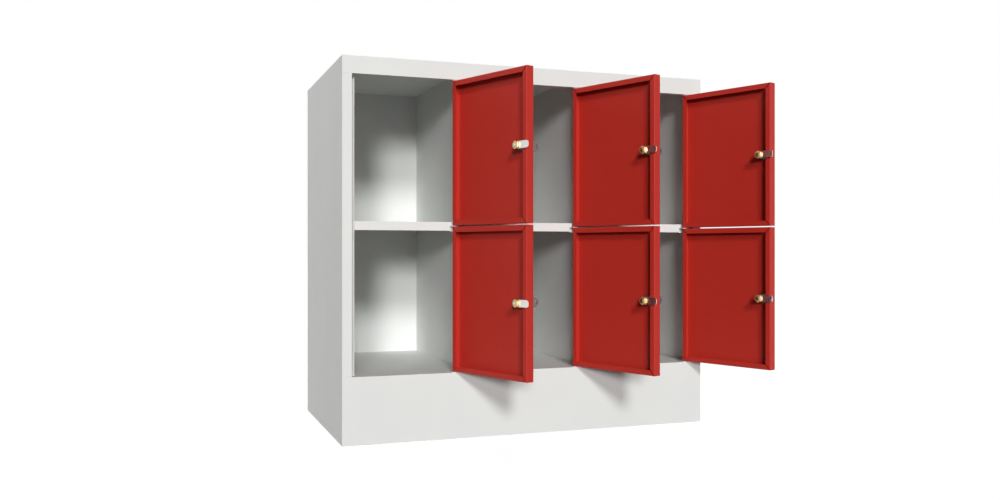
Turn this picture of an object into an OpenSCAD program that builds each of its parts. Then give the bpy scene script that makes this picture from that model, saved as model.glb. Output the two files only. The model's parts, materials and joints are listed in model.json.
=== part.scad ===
// Low steel compartment locker for phones and small belongings.
// Three columns of two compartments stand on a plinth, and each compartment has a
// right-hinged folded-sheet door with a cam lock. The doors are drawn standing open.
// The origin is on the floor, in the middle of the front edge: +X right, +Y to the back, +Z up.

/* [Cabinet] */
// Overall width of the cabinet
cabinet_w = 900; // [720:10:1200]
// Overall depth of the cabinet
cabinet_d = 500; // [350:10:700]
// Height of the plinth under the compartments
plinth_h = 150; // [60:5:250]
// Height of the opening between the plinth and the top rail
opening_h = 666; // [500:2:1000]
// Height of the rail above the doors
rail_h = 39; // [30:1:70]
// Width of the frame face beside each column of doors
stile_w = 22; // [16:1:40]
// Thickness of the body sheet
body_sheet = 1; // [0.8:0.1:1.5]
// Width of the folded edges that join the sheets
flange_w = 15; // [10:1:20]
// How far a door stop reaches past the frame into the opening
stop_reach = 9; // [6:1:14]
// How far a door stop ends short of the rail above it
stop_notch = 4; // [2:0.5:8]
// Height of the lip at the front of a shelf
lip_h = 20; // [12:1:30]
// Depth of the return under a shelf lip
lip_return = 8; // [5:1:12]

/* [Doors] */
// Depth of a door pan from its outer face to its back
door_t = 20; // [17:1:28]
// Thickness of the door sheet
door_sheet = 1; // [0.8:0.1:1.3]
// Width of the flange folded in behind a door's edge
door_flange = 12; // [6:1:14]
// Outer radius of a door's folded edges
door_bend_r = 1.5; // [1.3:0.1:3]
// Width of the mitre seam at the corners of a door's back flanges
mitre_seam = 2; // [0.3:0.1:3]
// Gap between a door's free edge and the frame
gap_free = 1.5; // [1:0.1:3]
// Gap between a door's hinge edge and the frame
gap_hinge = 2; // [1.9:0.1:4]
// Gap above the upper doors and below the lower doors
gap_end = 2.5; // [2:0.1:4]
// Gap between the two doors of a column
gap_middle = 3; // [2.4:0.1:5]
// Gap behind a closed door's back flange, in front of its stop
gap_stop = 0.5; // [0.3:0.1:1.5]
// Angle at which the doors stand open, in degrees
open_angle = 110.5; // [60:0.5:112]

/* [Hinges] */
// Distance of the hinge axis from the door's hinge edge
hinge_inset = 7; // [6:0.5:9]
// Distance of the hinge axis behind the door's outer face
hinge_depth = 6; // [5:0.5:8]
// Diameter of the hinge pins
pin_d = 5; // [3:0.5:6]
// Play all round between a hinge pin and its hole in the door
pin_play = 0.05; // [0.02:0.01:0.1]
// How far a hinge pin reaches past the door's edge into the pan
pin_reach = 7; // [4:1:15]
// Thickness of the hinge brackets
bracket_t = 1.5; // [1:0.1:1.6]
// Width of the hinge brackets
bracket_w = 26; // [20:1:60]
// How far a bracket's plate hangs below the shelf lip
bracket_drop = 1.5; // [0.5:0.5:4]
// Room behind the door's swinging back corner
swing_gap = 1.2; // [0.6:0.2:4]

/* [Locks] */
// Distance of the lock from the door's free edge
lock_edge = 28; // [26:1:40]
// Diameter of the lock's barrel
barrel_d = 18; // [16:1:20]
// Width across the two flats of the barrel
barrel_flats = 16; // [15:0.5:16]
// Diameter of the rosette in front of the door
rosette_d = 23; // [21:1:28]
// How far the rosette stands out from the door
rosette_t = 2.5; // [1.5:0.5:4]
// Width across the flats of the nut that holds the barrel
barrel_nut_af = 21; // [20:1:25]
// Thickness of the nut that holds the barrel
barrel_nut_t = 5; // [3:0.5:7]
// Room all round between the barrel and its hole in the door
barrel_fit = 0.1; // [0.05:0.05:0.3]
// Diameter of the turning plug
plug_d = 12; // [11:0.5:13]
// Play all round between the plug and the barrel
plug_play = 0.05; // [0.02:0.01:0.1]
// Side of the square on the back of the plug that drives the cam
drive_square = 8; // [6:0.5:8]
// Gap between the barrel's back end and the cam
cam_gap = 0.5; // [0.2:0.1:1]
// Thickness of the cam
cam_t = 2; // [1.5:0.5:3]
// Width of the cam
cam_w = 15.5; // [14:0.5:20]
// How far the cam reaches past the door's free edge
cam_reach = 8.5; // [4:0.5:10]
// Radius of the corners at the cam's tip
cam_tip_r = 5; // [2:0.5:7]
// Room behind the door stop for the cam to slide past
cam_stop_gap = 0.5; // [0.3:0.1:1.5]
// Width across the flats of the nut that holds the cam
cam_nut_af = 16; // [11:1:17]
// Thickness of the nut that holds the cam
cam_nut_t = 4.5; // [3:0.5:6]

/* [Keys] */
// Thickness of the key
key_t = 2.2; // [1.6:0.2:2.6]
// Height of the key's blade
blade_h = 7.6; // [6:0.2:8]
// How far the blade reaches into the plug
blade_l = 18; // [14:1:19]
// Room all round between the key's blade and the keyway
key_fit = 0.2; // [0.1:0.05:0.4]
// Diameter of the key's round bow
bow_d = 21; // [18:1:26]
// Diameter of the hole in the bow
bow_hole_d = 8; // [4:1:12]
// Length of the key's neck between the lock and the bow
neck_l = 15.5; // [8:0.5:20]

/* [Hidden] */
$fn = 48;
columns = 3;
rows = 2;
cut = 1;                                          // how far a cutting tool runs past a face

cabinet_h = plinth_h + opening_h + rail_h;
rail_z = plinth_h + opening_h;
pitch = cabinet_w / columns;                      // one column of doors
half_w = cabinet_w / 2;
stop_y = door_t + gap_stop;                       // front face of the door stops
fold_y = stop_y + body_sheet;                     // back of the frame's folded profiles
back_y = cabinet_d - body_sheet;                  // front face of the rear edge flanges
deck_z = cabinet_h - body_sheet;                  // underside of the top sheet
floor_z = plinth_h - body_sheet;

door_w = pitch - 2 * stile_w - gap_free - gap_hinge;
door_h = (opening_h - 2 * gap_end - gap_middle) / rows;
door_step = door_h + gap_middle;
shelf_mid_z = plinth_h + opening_h / 2;
hinge_x = pitch - stile_w - gap_hinge - hinge_inset;   // from a column's left side

// The door's back corner swings on this radius, so the shelf lip stands behind it.
corner_swing = norm([hinge_inset - door_bend_r, door_t - hinge_depth - door_bend_r]) + door_bend_r;
bracket_y = hinge_depth + corner_swing + swing_gap;
lip_y = bracket_y + bracket_t;
shelf_back_y = back_y - 2 * body_sheet;
tab_front_y = 1.5;
mitre_depth = door_bend_r + 0.3;                  // the seams end just below the bend
pin_chamfer = 0.8;

pin_r = pin_d / 2;
barrel_r = barrel_d / 2;
plug_r = plug_d / 2 - plug_play;
barrel_z = -(fold_y + cam_stop_gap - cam_gap);    // back end of the barrel, in the lock's own axes
cam_front_z = barrel_z - cam_gap;
cam_back_z = cam_front_z - cam_t;
stud_r = drive_square / 2;
stud_tail = 1.5;                                  // thread left showing behind the cam's nut
cam_l = lock_edge + cam_reach;
rosette_chamfer = 0.8;
cam_square_fit = 0.05;
bow_z = rosette_t + neck_l + bow_d / 2;
bow_hole_z = bow_z + bow_d / 8;                   // the hole sits a little past the bow's middle
bit_size = 1.6;                                   // side of the deep cuts in the blade
bit_size_low = 1.1;                               // side of the shallow cuts between them
bit_pitch = 2.8;
bits = 4;

steel_white = [0.90, 0.90, 0.88];
door_red = [0.76, 0.16, 0.13];
zinc = [0.80, 0.80, 0.78];
brass = [0.80, 0.62, 0.28];
nickel = [0.70, 0.70, 0.68];
dark_steel = [0.32, 0.32, 0.33];

// Each door's place: its name, column and row.
PLACES = [
    ["lower_left", 0, 0], ["lower_middle", 1, 0], ["lower_right", 2, 0],
    ["upper_left", 0, 1], ["upper_middle", 1, 1], ["upper_right", 2, 1]
];
SHELF_NAMES = ["shelf_left", "shelf_middle", "shelf_right"];
PARTITION_NAMES = ["partition_left", "partition_right"];
MULLION_NAMES = ["mullion_left", "mullion_right"];
DOOR_PIECES = [
    "door_panel", "lock_barrel", "barrel_nut", "lock_plug", "lock_cam", "cam_nut", "key"
];

// A box between two corners, measured from the cabinet's left side, front face and floor.
module slab(low, high) {
    translate([low[0] - half_w, low[1], low[2]])
        cube([high[0] - low[0], high[1] - low[1], high[2] - low[2]]);
}

// The children as they are for the left side, or mirrored for the right side.
module on_side(right) {
    if (right) mirror([1, 0, 0]) children();
    else children();
}

// ---- Body ----

// Door stop turned out behind a frame post's right edge, with its top corner cut off at a slant.
module door_stop(edge_x) {
    bend_x = edge_x - body_sheet - half_w;
    tip_x = edge_x + stop_reach - half_w;
    tip_z = rail_z - stop_notch;
    translate([0, fold_y, 0]) rotate([90, 0, 0]) linear_extrude(body_sheet) polygon([
        [bend_x, plinth_h], [tip_x, plinth_h], [tip_x, tip_z], [bend_x, tip_z - stop_reach / 2]
    ]);
}

// Wall of one side with its rear edge and its foot folded inwards.
module side_wall() {
    slab([0, body_sheet, 0], [body_sheet, cabinet_d, deck_z]);
    slab([0, 0, plinth_h], [body_sheet, body_sheet, rail_z]);
    slab([0, back_y, 0], [flange_w, cabinet_d, deck_z]);
    slab([0, flange_w, 0], [flange_w, back_y, body_sheet]);
}

// Frame face and its return, folded from the front edge of a side wall.
module side_stile() {
    slab([0, 0, plinth_h], [stile_w, body_sheet, rail_z]);
    slab([stile_w - body_sheet, 0, plinth_h], [stile_w, fold_y, rail_z]);
}

module left_side_panel() {
    color(steel_white) union() {
        side_wall();
        side_stile();
        door_stop(stile_w);
    }
}

module right_side_panel() {
    color(steel_white) on_side(true) union() {
        side_wall();
        side_stile();
        slab([stile_w - flange_w, stop_y, plinth_h], [stile_w, fold_y, rail_z]);
    }
}

// Top sheet with the rail folded down in front and turned back under itself.
module top_panel() {
    color(steel_white) union() {
        slab([0, 0, deck_z], [cabinet_w, cabinet_d, cabinet_h]);
        slab([0, 0, rail_z], [cabinet_w, body_sheet, cabinet_h]);
        slab([body_sheet, 0, rail_z], [cabinet_w - body_sheet, fold_y, rail_z + body_sheet]);
        slab([body_sheet, stop_y, rail_z], [cabinet_w - body_sheet, fold_y, rail_z + flange_w]);
        slab([flange_w, back_y, deck_z - flange_w], [cabinet_w - flange_w, cabinet_d, cabinet_h]);
    }
}

// Back sheet, from the floor to the top, with a foot folded forwards.
module back_panel() {
    inner_y = back_y - body_sheet;
    color(steel_white) union() {
        slab([body_sheet, inner_y, body_sheet], [cabinet_w - body_sheet, back_y, deck_z]);
        slab([flange_w, inner_y - flange_w, 0], [cabinet_w - flange_w, back_y, body_sheet]);
    }
}

// Floor of the lower compartments, with all four edges folded down.
module bottom_panel() {
    rear_y = back_y - body_sheet;
    right_x = cabinet_w - body_sheet;
    skirt_z = plinth_h - flange_w;
    color(steel_white) union() {
        slab([body_sheet, fold_y, floor_z], [right_x, rear_y, plinth_h]);
        slab([body_sheet, fold_y, skirt_z], [right_x, fold_y + body_sheet, plinth_h]);
        slab([body_sheet, rear_y - body_sheet, skirt_z], [right_x, rear_y, plinth_h]);
        slab([body_sheet, fold_y, skirt_z], [2 * body_sheet, rear_y, plinth_h]);
        slab([right_x - body_sheet, fold_y, skirt_z], [right_x, rear_y, plinth_h]);
    }
}

// Plinth front, turned back at the top to carry the frame and at the foot to stand on.
module plinth_panel() {
    right_x = cabinet_w - body_sheet;
    color(steel_white) union() {
        slab([0, 0, 0], [cabinet_w, body_sheet, plinth_h]);
        slab([body_sheet, 0, floor_z], [right_x, fold_y, plinth_h]);
        slab([body_sheet, stop_y, plinth_h - flange_w], [right_x, fold_y, plinth_h]);
        slab([body_sheet, 0, 0], [right_x, flange_w, body_sheet]);
    }
}

// Wall between two columns, with edges folded to meet the mullion and the back sheet.
module partition(index) {
    middle = pitch * (index + 1);
    left_x = middle - body_sheet / 2;
    right_x = middle + body_sheet / 2;
    rear_y = back_y - body_sheet;
    color(steel_white) union() {
        slab([left_x, fold_y + body_sheet, plinth_h], [right_x, rear_y, deck_z]);
        slab([middle - flange_w, fold_y, plinth_h], [right_x, fold_y + body_sheet, rail_z]);
        slab([left_x, rear_y - body_sheet, plinth_h], [middle + flange_w, rear_y, deck_z]);
    }
}

// Frame post between two columns: a folded channel, with a door stop on its right.
module mullion(index) {
    middle = pitch * (index + 1);
    left_x = middle - stile_w;
    right_x = middle + stile_w;
    color(steel_white) union() {
        slab([left_x, 0, plinth_h], [right_x, body_sheet, rail_z]);
        slab([left_x, 0, plinth_h], [left_x + body_sheet, fold_y, rail_z]);
        slab([left_x, stop_y, plinth_h], [left_x + flange_w, fold_y, rail_z]);
        slab([right_x - body_sheet, 0, plinth_h], [right_x, fold_y, rail_z]);
        door_stop(right_x);
    }
}

// Shelf between the two compartments of a column.
module shelf(index) {
    left_x = pitch * index + (index == 0 ? body_sheet : body_sheet / 2);
    right_x = pitch * (index + 1) - (index == columns - 1 ? body_sheet : body_sheet / 2);
    top_z = shelf_mid_z + lip_h / 2;
    lip_z = top_z - lip_h;
    color(steel_white) union() {
        slab([left_x, lip_y, top_z - body_sheet], [right_x, shelf_back_y, top_z]);
        slab([left_x, lip_y, lip_z], [right_x, lip_y + body_sheet, top_z]);
        slab([left_x, lip_y, lip_z], [right_x, lip_y + lip_return, lip_z + body_sheet]);
        slab([left_x, lip_y, lip_z], [left_x + body_sheet, shelf_back_y, top_z]);
        slab([right_x - body_sheet, lip_y, lip_z], [right_x, shelf_back_y, top_z]);
        slab([left_x, shelf_back_y - body_sheet, lip_z], [right_x, shelf_back_y, top_z]);
    }
}

// ---- Hinges ----

// Moves its children to the hinge axis of a column.
module at_hinge(column) {
    translate([pitch * column + hinge_x - half_w, hinge_depth, 0]) children();
}

// One flat tab with the hole that a hinge pin is pressed into.
module bracket_tab(column, low_z, rear_y) {
    right_x = pitch * (column + 1) - stile_w;
    difference() {
        slab([right_x - bracket_w, tab_front_y, low_z], [right_x, rear_y, low_z + bracket_t]);
        at_hinge(column) translate([0, 0, low_z - cut]) cylinder(r = pin_r, h = bracket_t + 2 * cut);
    }
}

// Tabs under the rail, over the plinth and between the doors of every column.
module hinge_brackets() {
    plate_low = shelf_mid_z - lip_h / 2 - bracket_drop;
    plate_high = shelf_mid_z + lip_h / 2;
    color(steel_white) for (column = [0 : columns - 1]) {
        right_x = pitch * (column + 1) - stile_w;
        bracket_tab(column, plinth_h, stop_y);
        bracket_tab(column, rail_z - bracket_t, stop_y);
        union() {
            bracket_tab(column, shelf_mid_z - bracket_t / 2, lip_y);
            slab([right_x - bracket_w, bracket_y, plate_low], [right_x, lip_y, plate_high]);
        }
    }
}

// A pin between two heights, with a chamfer at each end that enters a door.
module pin(low_z, high_z, chamfer_low, chamfer_high) {
    low_in = chamfer_low ? pin_chamfer : 0;
    high_in = chamfer_high ? pin_chamfer : 0;
    rotate_extrude() polygon([
        [0, low_z], [pin_r - low_in, low_z], [pin_r, low_z + low_in],
        [pin_r, high_z - high_in], [pin_r - high_in, high_z], [0, high_z]
    ]);
}

// Three pins a column: the middle one carries both doors.
module hinge_pins() {
    end_reach = gap_end + pin_reach;
    middle_reach = gap_middle / 2 + pin_reach;
    color(dark_steel) for (column = [0 : columns - 1]) at_hinge(column) {
        pin(plinth_h, plinth_h + end_reach, false, true);
        pin(shelf_mid_z - middle_reach, shelf_mid_z + middle_reach, true, true);
        pin(rail_z - end_reach, rail_z, true, false);
    }
}

// ---- Doors ----

// A door's own axes: X from the free edge to the hinge edge, Y inwards from the outer
// face, Z up from the lower edge.
module at_door(place) {
    low_z = plinth_h + gap_end + door_step * place[2];
    at_hinge(place[1]) translate([0, 0, low_z]) rotate([0, 0, open_angle])
        translate([hinge_inset - door_w, -hinge_depth, 0]) children();
}

// Outline of a folded edge: a rectangle with round corners.
module round_outline(size_x, size_y, r) {
    translate([r, 0]) square([size_x - 2 * r, size_y]);
    translate([0, r]) square([size_x, size_y - 2 * r]);
    for (x = [r, size_x - r]) for (y = [r, size_y - r]) translate([x, y]) circle(r = r);
}

// Solid with the outer shape of a door pan, drawn in from the true size by an inset.
module pan_form(inset) {
    size_x = door_w - 2 * inset;
    size_y = door_t - 2 * inset;
    size_z = door_h - 2 * inset;
    r = door_bend_r - inset;
    translate([inset, inset, inset]) intersection() {
        linear_extrude(size_z) round_outline(size_x, size_y, r);
        rotate([90, 0, 90]) linear_extrude(size_x) round_outline(size_y, size_z, r);
    }
}

// Mitre seam of two back flanges, from a corner of the pan towards its middle.
module mitre_slot() {
    slot_l = door_flange * sqrt(2) + 2 * cut;
    rotate([0, -45, 0]) translate([-cut, door_t - mitre_depth, -mitre_seam / 2])
        cube([slot_l, mitre_depth + cut, mitre_seam]);
}

// Folded pan: outer face, four edges and the flanges turned in behind them.
module door_panel() {
    window_w = door_w - 2 * door_flange;
    window_h = door_h - 2 * door_flange;
    hole_r = barrel_r + barrel_fit;
    hole_flats = barrel_flats + 2 * barrel_fit;
    color(door_red) difference() {
        pan_form(0);
        pan_form(door_sheet);
        translate([door_flange, door_t / 2, door_flange]) cube([window_w, door_t, window_h]);
        for (x = [0, 1]) for (z = [0, 1])
            translate([x * door_w, 0, z * door_h]) mirror([x, 0, 0]) mirror([0, 0, z]) mitre_slot();
        translate([lock_edge, -cut, door_h / 2]) intersection() {
            rotate([-90, 0, 0]) cylinder(r = hole_r, h = door_sheet + 2 * cut);
            translate([-hole_flats / 2, 0, -barrel_d]) cube([hole_flats, door_t, 2 * barrel_d]);
        }
        for (z = [-cut, door_h - door_sheet - cut])
            translate([door_w - hinge_inset, hinge_depth, z])
                cylinder(r = pin_r + pin_play, h = door_sheet + 2 * cut);
    }
}

// ---- Locks ----

// A lock's own axes: X towards the hinge, Y up, Z straight out of the door's outer face.
module at_lock(place) {
    at_door(place) translate([lock_edge, 0, door_h / 2]) rotate([90, 0, 0]) children();
}

module hexagon(across_flats) {
    circle(d = across_flats / cos(30), $fn = 6);
}

// Fixed barrel: rosette in front, threaded body with two flats behind it.
module lock_barrel() {
    color(nickel) difference() {
        union() {
            rotate_extrude() polygon([
                [0, 0], [rosette_d / 2, 0], [rosette_d / 2, rosette_t - rosette_chamfer],
                [rosette_d / 2 - rosette_chamfer, rosette_t], [0, rosette_t]
            ]);
            intersection() {
                translate([0, 0, barrel_z]) cylinder(r = barrel_r, h = -barrel_z);
                translate([-barrel_flats / 2, -barrel_d, barrel_z])
                    cube([barrel_flats, 2 * barrel_d, -barrel_z]);
            }
        }
        translate([0, 0, barrel_z - cut]) cylinder(d = plug_d, h = rosette_t - barrel_z + 2 * cut);
    }
}

module barrel_nut() {
    color(zinc) translate([0, 0, -door_sheet - barrel_nut_t]) difference() {
        linear_extrude(barrel_nut_t) hexagon(barrel_nut_af);
        translate([0, 0, -cut]) cylinder(r = barrel_r, h = barrel_nut_t + 2 * cut);
    }
}

// Turning plug: keyway in front, square and threaded stud behind.
module lock_plug() {
    stud_z = cam_back_z - cam_nut_t - stud_tail;
    keyway_w = key_t + 2 * key_fit;
    keyway_h = blade_h + 2 * key_fit;
    color(nickel) difference() {
        union() {
            translate([0, 0, cam_front_z]) cylinder(r = plug_r, h = rosette_t - cam_front_z);
            translate([-drive_square / 2, -drive_square / 2, cam_back_z])
                cube([drive_square, drive_square, cam_t]);
            translate([0, 0, stud_z]) cylinder(r = stud_r, h = cam_back_z - stud_z);
        }
        translate([-keyway_w / 2, -keyway_h / 2, rosette_t - blade_l - key_fit])
            cube([keyway_w, keyway_h, blade_l + key_fit + cut]);
    }
}

// Flat cam that points to the door's free edge and hooks behind the door stop.
module lock_cam() {
    half = cam_w / 2;
    hole = drive_square + 2 * cam_square_fit;
    color(zinc) translate([0, 0, cam_back_z]) difference() {
        linear_extrude(cam_t) {
            circle(r = half);
            translate([cam_tip_r - cam_l, -half]) square([cam_l - cam_tip_r, cam_w]);
            translate([-cam_l, cam_tip_r - half]) square([cam_l, cam_w - 2 * cam_tip_r]);
            for (y = [cam_tip_r - half, half - cam_tip_r])
                translate([cam_tip_r - cam_l, y]) circle(r = cam_tip_r);
        }
        translate([-hole / 2, -hole / 2, -cut]) cube([hole, hole, cam_t + 2 * cut]);
    }
}

module cam_nut() {
    color(brass) translate([0, 0, cam_back_z - cam_nut_t]) difference() {
        linear_extrude(cam_nut_t) hexagon(cam_nut_af);
        translate([0, 0, -cut]) cylinder(r = stud_r, h = cam_nut_t + 2 * cut);
    }
}

// Flat key, standing on edge in the plug, with a round bow.
module key() {
    tip_z = rosette_t - blade_l;
    color(nickel) translate([-key_t / 2, 0, 0]) rotate([90, 0, 90]) linear_extrude(key_t) difference() {
        union() {
            translate([-blade_h / 2, tip_z]) square([blade_h, bow_z - tip_z]);
            translate([0, bow_z]) circle(d = bow_d);
        }
        translate([0, bow_hole_z]) circle(d = bow_hole_d);
        for (i = [1 : bits]) translate([-blade_h / 2, tip_z + i * bit_pitch]) rotate(45)
            square(i % 2 == 0 ? bit_size_low : bit_size, center = true);
    }
}

// ---- Assembly ----

left_side_panel();
right_side_panel();
top_panel();
back_panel();
bottom_panel();
plinth_panel();
for (i = [0 : columns - 2]) {
    partition(i);
    mullion(i);
}
for (i = [0 : columns - 1])
    shelf(i);
hinge_brackets();
hinge_pins();
for (place = PLACES) {
    at_door(place) door_panel();
    at_lock(place) lock_barrel();
    at_lock(place) barrel_nut();
    at_lock(place) lock_plug();
    at_lock(place) lock_cam();
    at_lock(place) cam_nut();
    at_lock(place) key();
}
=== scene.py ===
"""Looks for the low compartment locker: paint, lock and key detail, the camera and studio light."""

import json
import math

import bpy
from mathutils import Matrix, Vector


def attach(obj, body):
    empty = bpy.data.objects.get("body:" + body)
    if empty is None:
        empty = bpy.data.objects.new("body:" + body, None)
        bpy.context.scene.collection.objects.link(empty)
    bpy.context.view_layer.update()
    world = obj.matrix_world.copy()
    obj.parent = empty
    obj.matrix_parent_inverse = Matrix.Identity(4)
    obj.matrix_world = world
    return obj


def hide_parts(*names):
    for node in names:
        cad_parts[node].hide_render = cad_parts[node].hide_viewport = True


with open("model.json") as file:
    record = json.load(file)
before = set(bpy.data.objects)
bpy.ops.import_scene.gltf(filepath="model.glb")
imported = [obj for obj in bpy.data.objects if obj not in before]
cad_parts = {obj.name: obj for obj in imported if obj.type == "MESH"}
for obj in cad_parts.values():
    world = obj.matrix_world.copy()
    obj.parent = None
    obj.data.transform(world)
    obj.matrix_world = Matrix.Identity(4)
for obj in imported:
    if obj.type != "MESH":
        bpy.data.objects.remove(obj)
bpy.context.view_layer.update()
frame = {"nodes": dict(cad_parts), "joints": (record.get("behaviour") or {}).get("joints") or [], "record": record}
nodes = frame["nodes"]
joints = {joint["name"]: joint for joint in frame["joints"]}
scene = bpy.context.scene

MM = 0.001


# ---- Materials ----

# A noise's scale is in waves a metre on the CAD nodes. The lock pieces below are meshes in mm, so
# there it is in waves a mm, which is too fine to show.
NOISE_LOW, NOISE_HIGH = 0.3, 0.7
COLOUR_SCALE, COLOUR_SHADE = 7, 0.97
GLOSS_SCALE, GLOSS_DRIFT = 55, 0.04
PEEL_SCALE, PEEL_ROUGHNESS, PEEL_STRENGTH, PEEL_DEPTH = 650, 0.4, 0.35, 0.1 * MM
CLOUD_SCALE, CLOUD_SHADE = 300, 0.84
GRAIN_SCALE, GRAIN_STRENGTH, GRAIN_DEPTH = 3000, 0.1, 0.02 * MM
GRAIN_SMOOTHER, GRAIN_ROUGHER = 0.06, 0.08
EVEN = (1, 1, 1)

PAINTS = {  # colour, roughness, specular level
    "body_paint": ((0.755, 0.770, 0.750), 0.48, 0.25),
    "door_paint": ((0.530, 0.032, 0.021), 0.46, 0.20),
}
METALS = {  # colour, roughness, stretch of the grain
    "nickel": ((0.68, 0.65, 0.60), 0.24, EVEN),
    "zinc": ((0.82, 0.81, 0.79), 0.24, (1, 1, 0.06)),
    "brass": ((0.82, 0.57, 0.27), 0.42, EVEN),
    # The key's steel is drawn dark. This is painted shade: a real key's plating is bright, and the colour stands
    # in for the door's shade and dark reflections.
    "key_steel": ((0.20, 0.19, 0.19), 0.28, (1, 1, 0.08)),
    "pin_steel": ((0.36, 0.36, 0.36), 0.30, (1, 1, 0.06)),
    # Near-black metal for the lock's barrel and nut behind the door. This is painted shade: darker than their
    # plating, it stands in for the shade and dark reflections under the cam. The record's slots there are nickel
    # and zinc.
    "painted_shade_zinc": ((0.10, 0.09, 0.09), 0.34, EVEN),
}


def new_material(name):
    """A material with only its Principled shader, wired to the output."""
    material = bpy.data.materials.new(name)
    material.use_nodes = True
    tree = material.node_tree
    tree.nodes.clear()
    output = tree.nodes.new("ShaderNodeOutputMaterial")
    shader = tree.nodes.new("ShaderNodeBsdfPrincipled")
    tree.links.new(shader.outputs["BSDF"], output.inputs["Surface"])
    return material, tree, shader


def noise(tree, scale, detail=2.0, roughness=0.5, stretch=EVEN):
    """Noise in the piece's own coordinates, so that it moves with the piece."""
    place = tree.nodes.new("ShaderNodeTexCoord")
    mapping = tree.nodes.new("ShaderNodeMapping")
    mapping.inputs["Scale"].default_value = stretch
    texture = tree.nodes.new("ShaderNodeTexNoise")
    texture.inputs["Scale"].default_value = scale
    texture.inputs["Detail"].default_value = detail
    texture.inputs["Roughness"].default_value = roughness
    tree.links.new(place.outputs["Object"], mapping.inputs["Vector"])
    tree.links.new(mapping.outputs["Vector"], texture.inputs["Vector"])
    return texture.outputs["Fac"]


def spread(tree, value, low, high):
    """Maps the middle of a noise's range to low..high."""
    node = tree.nodes.new("ShaderNodeMapRange")
    node.inputs["From Min"].default_value = NOISE_LOW
    node.inputs["From Max"].default_value = NOISE_HIGH
    node.inputs["To Min"].default_value = low
    node.inputs["To Max"].default_value = high
    tree.links.new(value, node.inputs["Value"])
    return node.outputs["Result"]


def tint(tree, shader, value, colour, shade):
    """Base colour that drifts between a colour and a shade of it."""
    mix = tree.nodes.new("ShaderNodeMix")
    mix.data_type = "RGBA"
    mix.inputs["A"].default_value = (*colour, 1)
    mix.inputs["B"].default_value = (*[c * shade for c in colour], 1)
    tree.links.new(spread(tree, value, 0, 1), mix.inputs["Factor"])
    tree.links.new(mix.outputs["Result"], shader.inputs["Base Color"])


def vary_roughness(tree, shader, value, low, high):
    tree.links.new(spread(tree, value, low, high), shader.inputs["Roughness"])


def bump(tree, shader, value, strength, depth):
    node = tree.nodes.new("ShaderNodeBump")
    node.inputs["Strength"].default_value = strength
    node.inputs["Distance"].default_value = depth
    tree.links.new(value, node.inputs["Height"])
    tree.links.new(node.outputs["Normal"], shader.inputs["Normal"])


def powder_coat(name, colour, roughness, specular):
    """Baked powder coat: a faint drift of colour and gloss, and a fine orange peel."""
    material, tree, shader = new_material(name)
    shader.inputs["Specular IOR Level"].default_value = specular
    tint(tree, shader, noise(tree, COLOUR_SCALE, detail=3), colour, COLOUR_SHADE)
    drift = noise(tree, GLOSS_SCALE)
    vary_roughness(tree, shader, drift, roughness - GLOSS_DRIFT, roughness + GLOSS_DRIFT)
    peel = noise(tree, PEEL_SCALE, roughness=PEEL_ROUGHNESS)
    bump(tree, shader, peel, PEEL_STRENGTH, PEEL_DEPTH)
    return material


def metal(name, colour, roughness, stretch):
    """Plated or turned metal: fine grain, long where it is stretched, and clouds in the plating."""
    material, tree, shader = new_material(name)
    shader.inputs["Metallic"].default_value = 1
    tint(tree, shader, noise(tree, CLOUD_SCALE, detail=4), colour, CLOUD_SHADE)
    grain = noise(tree, GRAIN_SCALE, stretch=stretch)
    vary_roughness(tree, shader, grain, roughness - GRAIN_SMOOTHER, roughness + GRAIN_ROUGHER)
    bump(tree, shader, grain, GRAIN_STRENGTH, GRAIN_DEPTH)
    return material


MATERIALS = {name: powder_coat(name, *look) for name, look in PAINTS.items()}
MATERIALS |= {name: metal(name, *look) for name, look in METALS.items()}


# ---- CAD nodes: finish and softened edges ----

SOFT_BODY = 0.4 * MM
SOFT_HARDWARE = 0.22 * MM
SOFT_ANGLE = math.radians(40)
WELD_GAP = 0.005 * MM


def soften(piece, width):
    """Joins the mesh's split edges and rounds the sharp ones, so that they catch the light."""
    weld = piece.modifiers.new("weld", "WELD")
    weld.merge_threshold = WELD_GAP
    bevel = piece.modifiers.new("edge", "BEVEL")
    bevel.width = width
    bevel.segments = 2
    bevel.limit_method = "ANGLE"
    bevel.angle_limit = SOFT_ANGLE
    bevel.harden_normals = True


def soft_width(name, slot_name):
    """How far a node's edges are rounded, or None where they stay sharp."""
    if slot_name == "body_paint":
        return SOFT_BODY
    if name.startswith(("lock_cam", "lock_plug")):
        return SOFT_HARDWARE
    return None


for row in frame["record"]["subparts"]:
    piece = nodes[row["node"]]
    piece.data.materials.clear()
    piece.data.materials.append(MATERIALS[row["material_slot"]])
    width = soft_width(row["node"], row["material_slot"])
    if width:
        soften(piece, width)


# ---- Lock and key detail ----

# Sizes are in mm, in a lock's own axes: X to the hinge, Y up, Z straight out of the door.
# R is a radius, T a thickness, H a height, L a length and AF a width across flats.
LEVELS, COLUMNS = ("lower", "upper"), ("left", "middle", "right")
PLACES = [f"{level}_{column}" for level in LEVELS for column in COLUMNS]
STEPS_ROUND = 72
SHARP_ANGLE = math.radians(35)
TOLERANCE = 0.001

DOOR_SHEET = 1.0
ROSETTE_R, ROSETTE_T, ROSETTE_EDGE, ROSETTE_RIM, ROSETTE_FOOT = 11.5, 2.5, 0.8, 2.2, 0.15
BARREL_R, BARREL_FLATS, BARREL_BACK, BARREL_CHAMFER = 9.0, 16.0, -21.5, 0.7
BORE_R, BORE_CHAMFER, BORE_RIM = 6.0, 0.3, 0.2
THREAD_PITCH, THREAD_DEPTH, THREAD_RUNOUT, RINGS_A_TURN = 1.0, 0.55, 0.8, 6
OUTER_SKIN = 0.8

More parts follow.
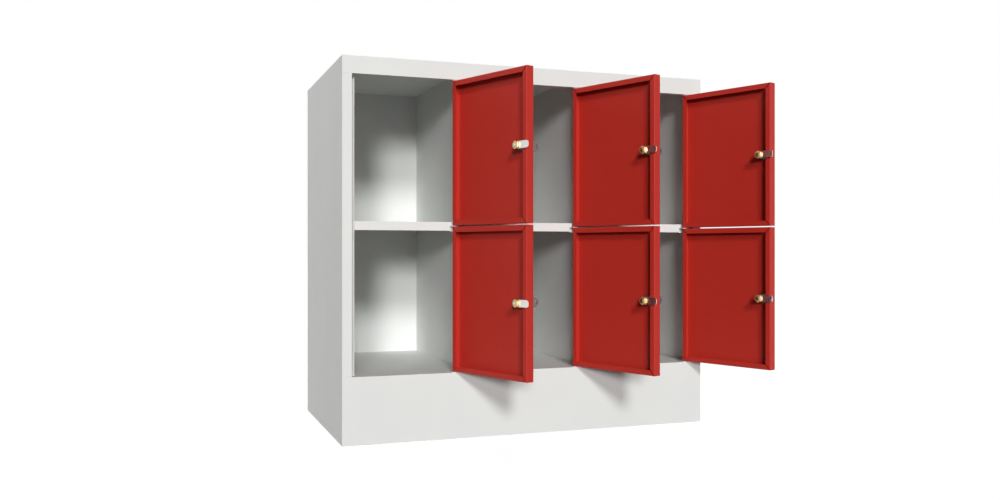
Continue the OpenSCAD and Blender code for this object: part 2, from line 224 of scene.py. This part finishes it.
BARREL_NUT_AF, BARREL_NUT_T = 21.0, 5.0
CAM_NUT_AF, CAM_NUT_T, STUD_R, CAM_BACK = 16.0, 4.5, 4.0, -24.0
NUT_FACE = 0.97
NUT_TURNING = (0, 0.15, 0.35, 0.6, 1)
NUT_SINK, NUT_SINK_SHARE = 0.7, 0.35
THIRTY = math.radians(30)

KEY_T, KEY_EDGE = 2.2, 0.2
BLADE_H, BLADE_L, NECK_L = 7.6, 18.0, 15.5
CUT_PITCH, CUT_DEPTHS = 2.8, (1.15, 0.8, 1.15, 0.8)
TIP_LOW, TIP_HIGH = (1.4, 0.9), (1.0, 0.8)
BOW_R, BOW_STEPS = 10.5, 56
HOLE_R, HOLE_STEPS = 4.0, 32


def lock_axes(place):
    """A lock's own axes at rest, from the joint that turns it."""
    joint = joints[f"lock_{place}_turn"]
    out = Vector(joint["axis"]).normalized()
    up = Vector((0, 0, 1))
    across = up.cross(out)
    axes = Matrix((across, up, out)).transposed().to_4x4()
    return Matrix.Translation(joint["pos_m"]) @ axes @ Matrix.Diagonal((MM, MM, MM, 1))


def finish_mesh(mesh, look):
    """Smooth shading that keeps the sharp edges, and the mesh's material."""
    mesh.polygons.foreach_set("use_smooth", [True] * len(mesh.polygons))
    mesh.set_sharp_from_angle(angle=SHARP_ANGLE)
    mesh.materials.append(MATERIALS[look])


def revolved(name, look, rings, reshape):
    """A closed body turned round Z from a loop of (radius, height), each point then reshaped."""
    points = []
    for radius, height in rings:
        for i in range(STEPS_ROUND):
            angle = 2 * math.pi * i / STEPS_ROUND
            x, y = radius * math.cos(angle), radius * math.sin(angle)
            points.append(reshape(x, y, height, angle))
    faces = []
    for ring in range(len(rings)):
        low, high = ring * STEPS_ROUND, (ring + 1) % len(rings) * STEPS_ROUND
        for i in range(STEPS_ROUND):
            j = (i + 1) % STEPS_ROUND
            faces.append((low + i, low + j, high + j, high + i))
    mesh = bpy.data.meshes.new(name)
    mesh.from_pydata(points, [], faces)
    finish_mesh(mesh, look)
    return mesh


def barrel_mesh():
    """Rosette with rounded edges, and behind it a threaded body with two flats, bored through."""
    front, back = -DOOR_SHEET, BARREL_BACK + THREAD_RUNOUT
    turns = int((front - back) / THREAD_PITCH * RINGS_A_TURN)
    thread = [(BARREL_R, front + (back - front) * i / turns) for i in range(turns + 1)]
    edge = ROSETTE_EDGE
    rounding = [
        (ROSETTE_R - edge + edge * math.sin(a), ROSETTE_T - edge + edge * math.cos(a))
        for a in [math.radians(d) for d in range(0, 91, 15)]
    ]
    rings = [
        (BORE_R, BARREL_BACK),
        (BORE_R, ROSETTE_T - BORE_CHAMFER),
        (BORE_R + BORE_CHAMFER, ROSETTE_T),
        (ROSETTE_R - ROSETTE_RIM, ROSETTE_T),
        *rounding,
        (ROSETTE_R, ROSETTE_FOOT),
        (ROSETTE_R - ROSETTE_FOOT, 0),
        (BARREL_R, 0),
        *thread,
        (BARREL_R - BARREL_CHAMFER, BARREL_BACK),
        (BORE_R + BORE_RIM, BARREL_BACK),
    ]

    def reshape(x, y, z, angle):
        if z >= 0 or math.hypot(x, y) < BARREL_R - OUTER_SKIN:
            return x, y, z
        if back <= z < front:
            phase = (z / THREAD_PITCH - angle / (2 * math.pi)) % 1
            r = BARREL_R - THREAD_DEPTH * abs(2 * phase - 1)
            x, y = r * math.cos(angle), r * math.sin(angle)
        half = BARREL_FLATS / 2
        return max(-half, min(half, x)), y, z

    mesh = revolved("barrel", "nickel", rings, reshape)
    # The barrel's body behind the door takes the near-black metal, which is painted shade from the cam.
    mesh.materials.append(MATERIALS["painted_shade_zinc"])
    for face in mesh.polygons:
        face.material_index = int(face.center.z < 0 and face.center.xy.length > BORE_R)
    return mesh


def nut_mesh(name, look, across_flats, thickness, bore_r, front_z):
    """Hexagon nut with its corners turned off at both faces and its bore countersunk."""
    flat = across_flats / 2
    corner = flat / math.cos(THIRTY)
    turn = corner - flat * NUT_FACE
    depth = turn * math.tan(THIRTY)
    back_z = front_z - thickness
    sink = min(NUT_SINK, (flat - bore_r) * NUT_SINK_SHARE)
    front = [(flat * NUT_FACE + turn * part, front_z - depth * part) for part in NUT_TURNING]
    back = [(r, 2 * front_z - thickness - z) for r, z in reversed(front)]
    rings = [
        (bore_r + sink, front_z),
        *front,
        *back,
        (bore_r + sink, back_z),
        (bore_r, back_z + sink),
        (bore_r, front_z - sink),
    ]

    def reshape(x, y, z, angle):
        radius = math.hypot(x, y)
        if radius <= bore_r + sink + TOLERANCE:
            return x, y, z
        from_flat = (angle + THIRTY) % (2 * THIRTY) - THIRTY
        limit = min(radius, flat / math.cos(from_flat))
        return limit * math.cos(angle), limit * math.sin(angle), z

    return revolved(name, look, rings, reshape)


def key_outlines():
    """The key's outline and the hole of its bow, as (height, distance out of the door)."""
    tip = ROSETTE_T - BLADE_L
    bow_z = ROSETTE_T + NECK_L + BOW_R
    half = BLADE_H / 2
    meet = math.acos(half / BOW_R)
    outline = [(half, bow_z - BOW_R * math.sin(meet))]
    for i in range(1, BOW_STEPS):
        a = -meet + (math.pi + 2 * meet) * i / BOW_STEPS
        outline.append((BOW_R * math.cos(a), bow_z + BOW_R * math.sin(a)))
    outline.append((-half, bow_z - BOW_R * math.sin(meet)))
    for i, deep in reversed(list(enumerate(CUT_DEPTHS, start=1))):
        z = tip + i * CUT_PITCH
        outline += [(-half, z + deep), (-half + deep, z), (-half, z - deep)]
    outline += [(-half, tip + TIP_LOW[1]), (-half + TIP_LOW[0], tip)]
    outline += [(half - TIP_HIGH[0], tip), (half, tip + TIP_HIGH[1])]
    hole_z = bow_z + BOW_R / 4
    hole = [
        (HOLE_R * math.cos(a), hole_z - HOLE_R * math.sin(a))
        for a in [2 * math.pi * i / HOLE_STEPS for i in range(HOLE_STEPS)]
    ]
    return outline, hole


def key_mesh():
    """Flat key with a cut blade, a round pierced bow and rounded edges, in the lock's YZ plane."""
    curve = bpy.data.curves.new("key_outline", "CURVE")
    curve.dimensions = "2D"
    curve.fill_mode = "BOTH"
    curve.extrude = KEY_T / 2 - KEY_EDGE
    curve.bevel_depth = KEY_EDGE
    curve.bevel_resolution = 1
    curve.offset = -KEY_EDGE
    for points in key_outlines():
        spline = curve.splines.new("POLY")
        spline.points.add(len(points) - 1)
        spline.use_cyclic_u = True
        for point, (y, z) in zip(spline.points, points):
            point.co = (y, z, 0, 1)
    holder = bpy.data.objects.new("key_outline", curve)
    scene.collection.objects.link(holder)
    bpy.context.view_layer.update()
    depsgraph = bpy.context.evaluated_depsgraph_get()
    mesh = bpy.data.meshes.new_from_object(holder.evaluated_get(depsgraph))
    bpy.data.objects.remove(holder)
    # The curve lies in XY, and the key stands in YZ.
    mesh.transform(Matrix(((0, 0, 1, 0), (1, 0, 0, 0), (0, 1, 0, 0), (0, 0, 0, 1))))
    mesh.name = "key"
    mesh.materials.clear()
    # Dark key steel, which is painted shade.
    finish_mesh(mesh, "key_steel")
    return mesh


def place_piece(name, mesh, place, body, replaced):
    """Puts one lock's piece in place of its plain CAD node."""
    piece = bpy.data.objects.new(f"{name}_{place}", mesh)
    scene.collection.objects.link(piece)
    piece.matrix_world = lock_axes(place)
    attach(piece, body)
    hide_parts(f"{replaced}_{place}")


barrel = barrel_mesh()
# The barrel nut takes the near-black metal, which is painted shade from the cam.
barrel_nut = nut_mesh(
    "barrel_nut", "painted_shade_zinc", BARREL_NUT_AF, BARREL_NUT_T, BARREL_R, -DOOR_SHEET
)
cam_nut = nut_mesh("cam_nut", "brass", CAM_NUT_AF, CAM_NUT_T, STUD_R, CAM_BACK)
key = key_mesh()
for place in PLACES:
    door, lock, loose_key = f"door_{place}", f"lock_{place}", f"key_{place}_body"
    place_piece("threaded_barrel", barrel, place, door, "lock_barrel")
    place_piece("chamfered_barrel_nut", barrel_nut, place, door, "barrel_nut")
    place_piece("chamfered_cam_nut", cam_nut, place, lock, "cam_nut")
    place_piece("cut_key", key, place, loose_key, "key")


# ---- Camera ----

# Fitted to the photograph's edges: the eye in mm, the heading to the right and the rise in
# degrees, and the focal length in pixels of the photograph's width.
EYE = Vector((-831.09, -2059.67, 428.56))
HEADING, RISE = 19.945, 0.005
FOCAL_PX, FRAME_PX, SENSOR = 947.68, 1000, 36.0

camera_data = bpy.data.cameras.new("camera")
camera_data.sensor_width = SENSOR
camera_data.lens = FOCAL_PX / FRAME_PX * SENSOR
camera = bpy.data.objects.new("camera", camera_data)
camera.location = EYE * MM
camera.rotation_euler = (math.radians(90 + RISE), 0, -math.radians(HEADING))
scene.collection.objects.link(camera)
scene.camera = camera


# ---- Light, floor and background ----

# Azimuth, elevation and width across are in degrees. The last value is whether gloss mirrors it.
LAMPS = (
    ("key_low", -19.3, 10.8, 9.2, 1.60, True),
    ("key_high", -9.2, 24.3, 9.2, 1.60, True),
    ("left_fill", -150, 15, 40, 0.93, False),
    ("right_fill", 112, 30, 50, 1.1, False),
    ("back_fill", 180, 25, 40, 1.1, False),
    ("top_fill", 170, 78, 30, 0.5, False),
)
LAMP_DISTANCE = 6
WORLD_FILL, WORLD_SEEN = 0.01, 1.0
FLOOR_HALF, FLOOR_ALBEDO, FLOOR_ROUGHNESS, FLOOR_GLOW = 40.0, 0.16, 0.9, 0.92


def sun(name, azimuth, elevation, width, strength, mirrored):
    """A far soft lamp. Azimuth 0 shines straight at the front, and 90 at the right side."""
    data = bpy.data.lights.new(name, "SUN")
    data.angle = math.radians(width)
    data.energy = strength
    light = bpy.data.objects.new(name, data)
    a, e = math.radians(azimuth), math.radians(elevation)
    away = Vector((math.sin(a) * math.cos(e), -math.cos(a) * math.cos(e), math.sin(e)))
    light.location = away * LAMP_DISTANCE
    light.rotation_euler = (-away).to_track_quat("-Z", "Y").to_euler()
    light.visible_glossy = mirrored
    scene.collection.objects.link(light)


def seen_directly(tree):
    """1 for rays from the camera, off gloss or through glass, and 0 for light on a surface."""
    path = tree.nodes.new("ShaderNodeLightPath")
    total = path.outputs["Is Camera Ray"]
    for name in ("Is Glossy Ray", "Is Transmission Ray"):
        either = tree.nodes.new("ShaderNodeMath")
        either.operation = "MAXIMUM"
        tree.links.new(total, either.inputs[0])
        tree.links.new(path.outputs[name], either.inputs[1])
        total = either.outputs[0]
    return total


def make_world():
    """White to the camera and in reflections, and a weak even fill for the surfaces."""
    world = bpy.data.worlds.new("studio")
    scene.world = world
    world.use_nodes = True
    tree = world.node_tree
    tree.nodes.clear()
    choice = tree.nodes.new("ShaderNodeMixShader")
    tree.links.new(seen_directly(tree), choice.inputs["Fac"])
    for socket, strength in ((1, WORLD_FILL), (2, WORLD_SEEN)):
        light = tree.nodes.new("ShaderNodeBackground")
        light.inputs["Color"].default_value = (1, 1, 1, 1)
        light.inputs["Strength"].default_value = strength
        tree.links.new(light.outputs["Background"], choice.inputs[socket])
    output = tree.nodes.new("ShaderNodeOutputWorld")
    tree.links.new(choice.outputs["Shader"], output.inputs["Surface"])


def make_floor():
    """Floor that looks white, keeps the locker's soft shadow and throws little light back."""
    mesh = bpy.data.meshes.new("floor")
    corners = ((-1, -1), (1, -1), (1, 1), (-1, 1))
    mesh.from_pydata([(x * FLOOR_HALF, y * FLOOR_HALF, 0) for x, y in corners], [], [(0, 1, 2, 3)])
    floor = bpy.data.objects.new("floor", mesh)
    scene.collection.objects.link(floor)
    material, tree, shader = new_material("floor")
    shader.inputs["Base Color"].default_value = (FLOOR_ALBEDO, FLOOR_ALBEDO, FLOOR_ALBEDO, 1)
    shader.inputs["Roughness"].default_value = FLOOR_ROUGHNESS
    shader.inputs["Specular IOR Level"].default_value = 0
    emission = tree.nodes.new("ShaderNodeEmission")
    strength = tree.nodes.new("ShaderNodeMath")
    strength.operation = "MULTIPLY"
    strength.inputs[1].default_value = FLOOR_GLOW
    tree.links.new(seen_directly(tree), strength.inputs[0])
    tree.links.new(strength.outputs[0], emission.inputs["Strength"])
    both = tree.nodes.new("ShaderNodeAddShader")
    tree.links.new(shader.outputs["BSDF"], both.inputs[0])
    tree.links.new(emission.outputs["Emission"], both.inputs[1])
    output = next(node for node in tree.nodes if node.type == "OUTPUT_MATERIAL")
    tree.links.new(both.outputs["Shader"], output.inputs["Surface"])
    mesh.materials.append(material)


for lamp in LAMPS:
    sun(*lamp)
make_world()
make_floor()
scene.view_settings.view_transform = "Standard"
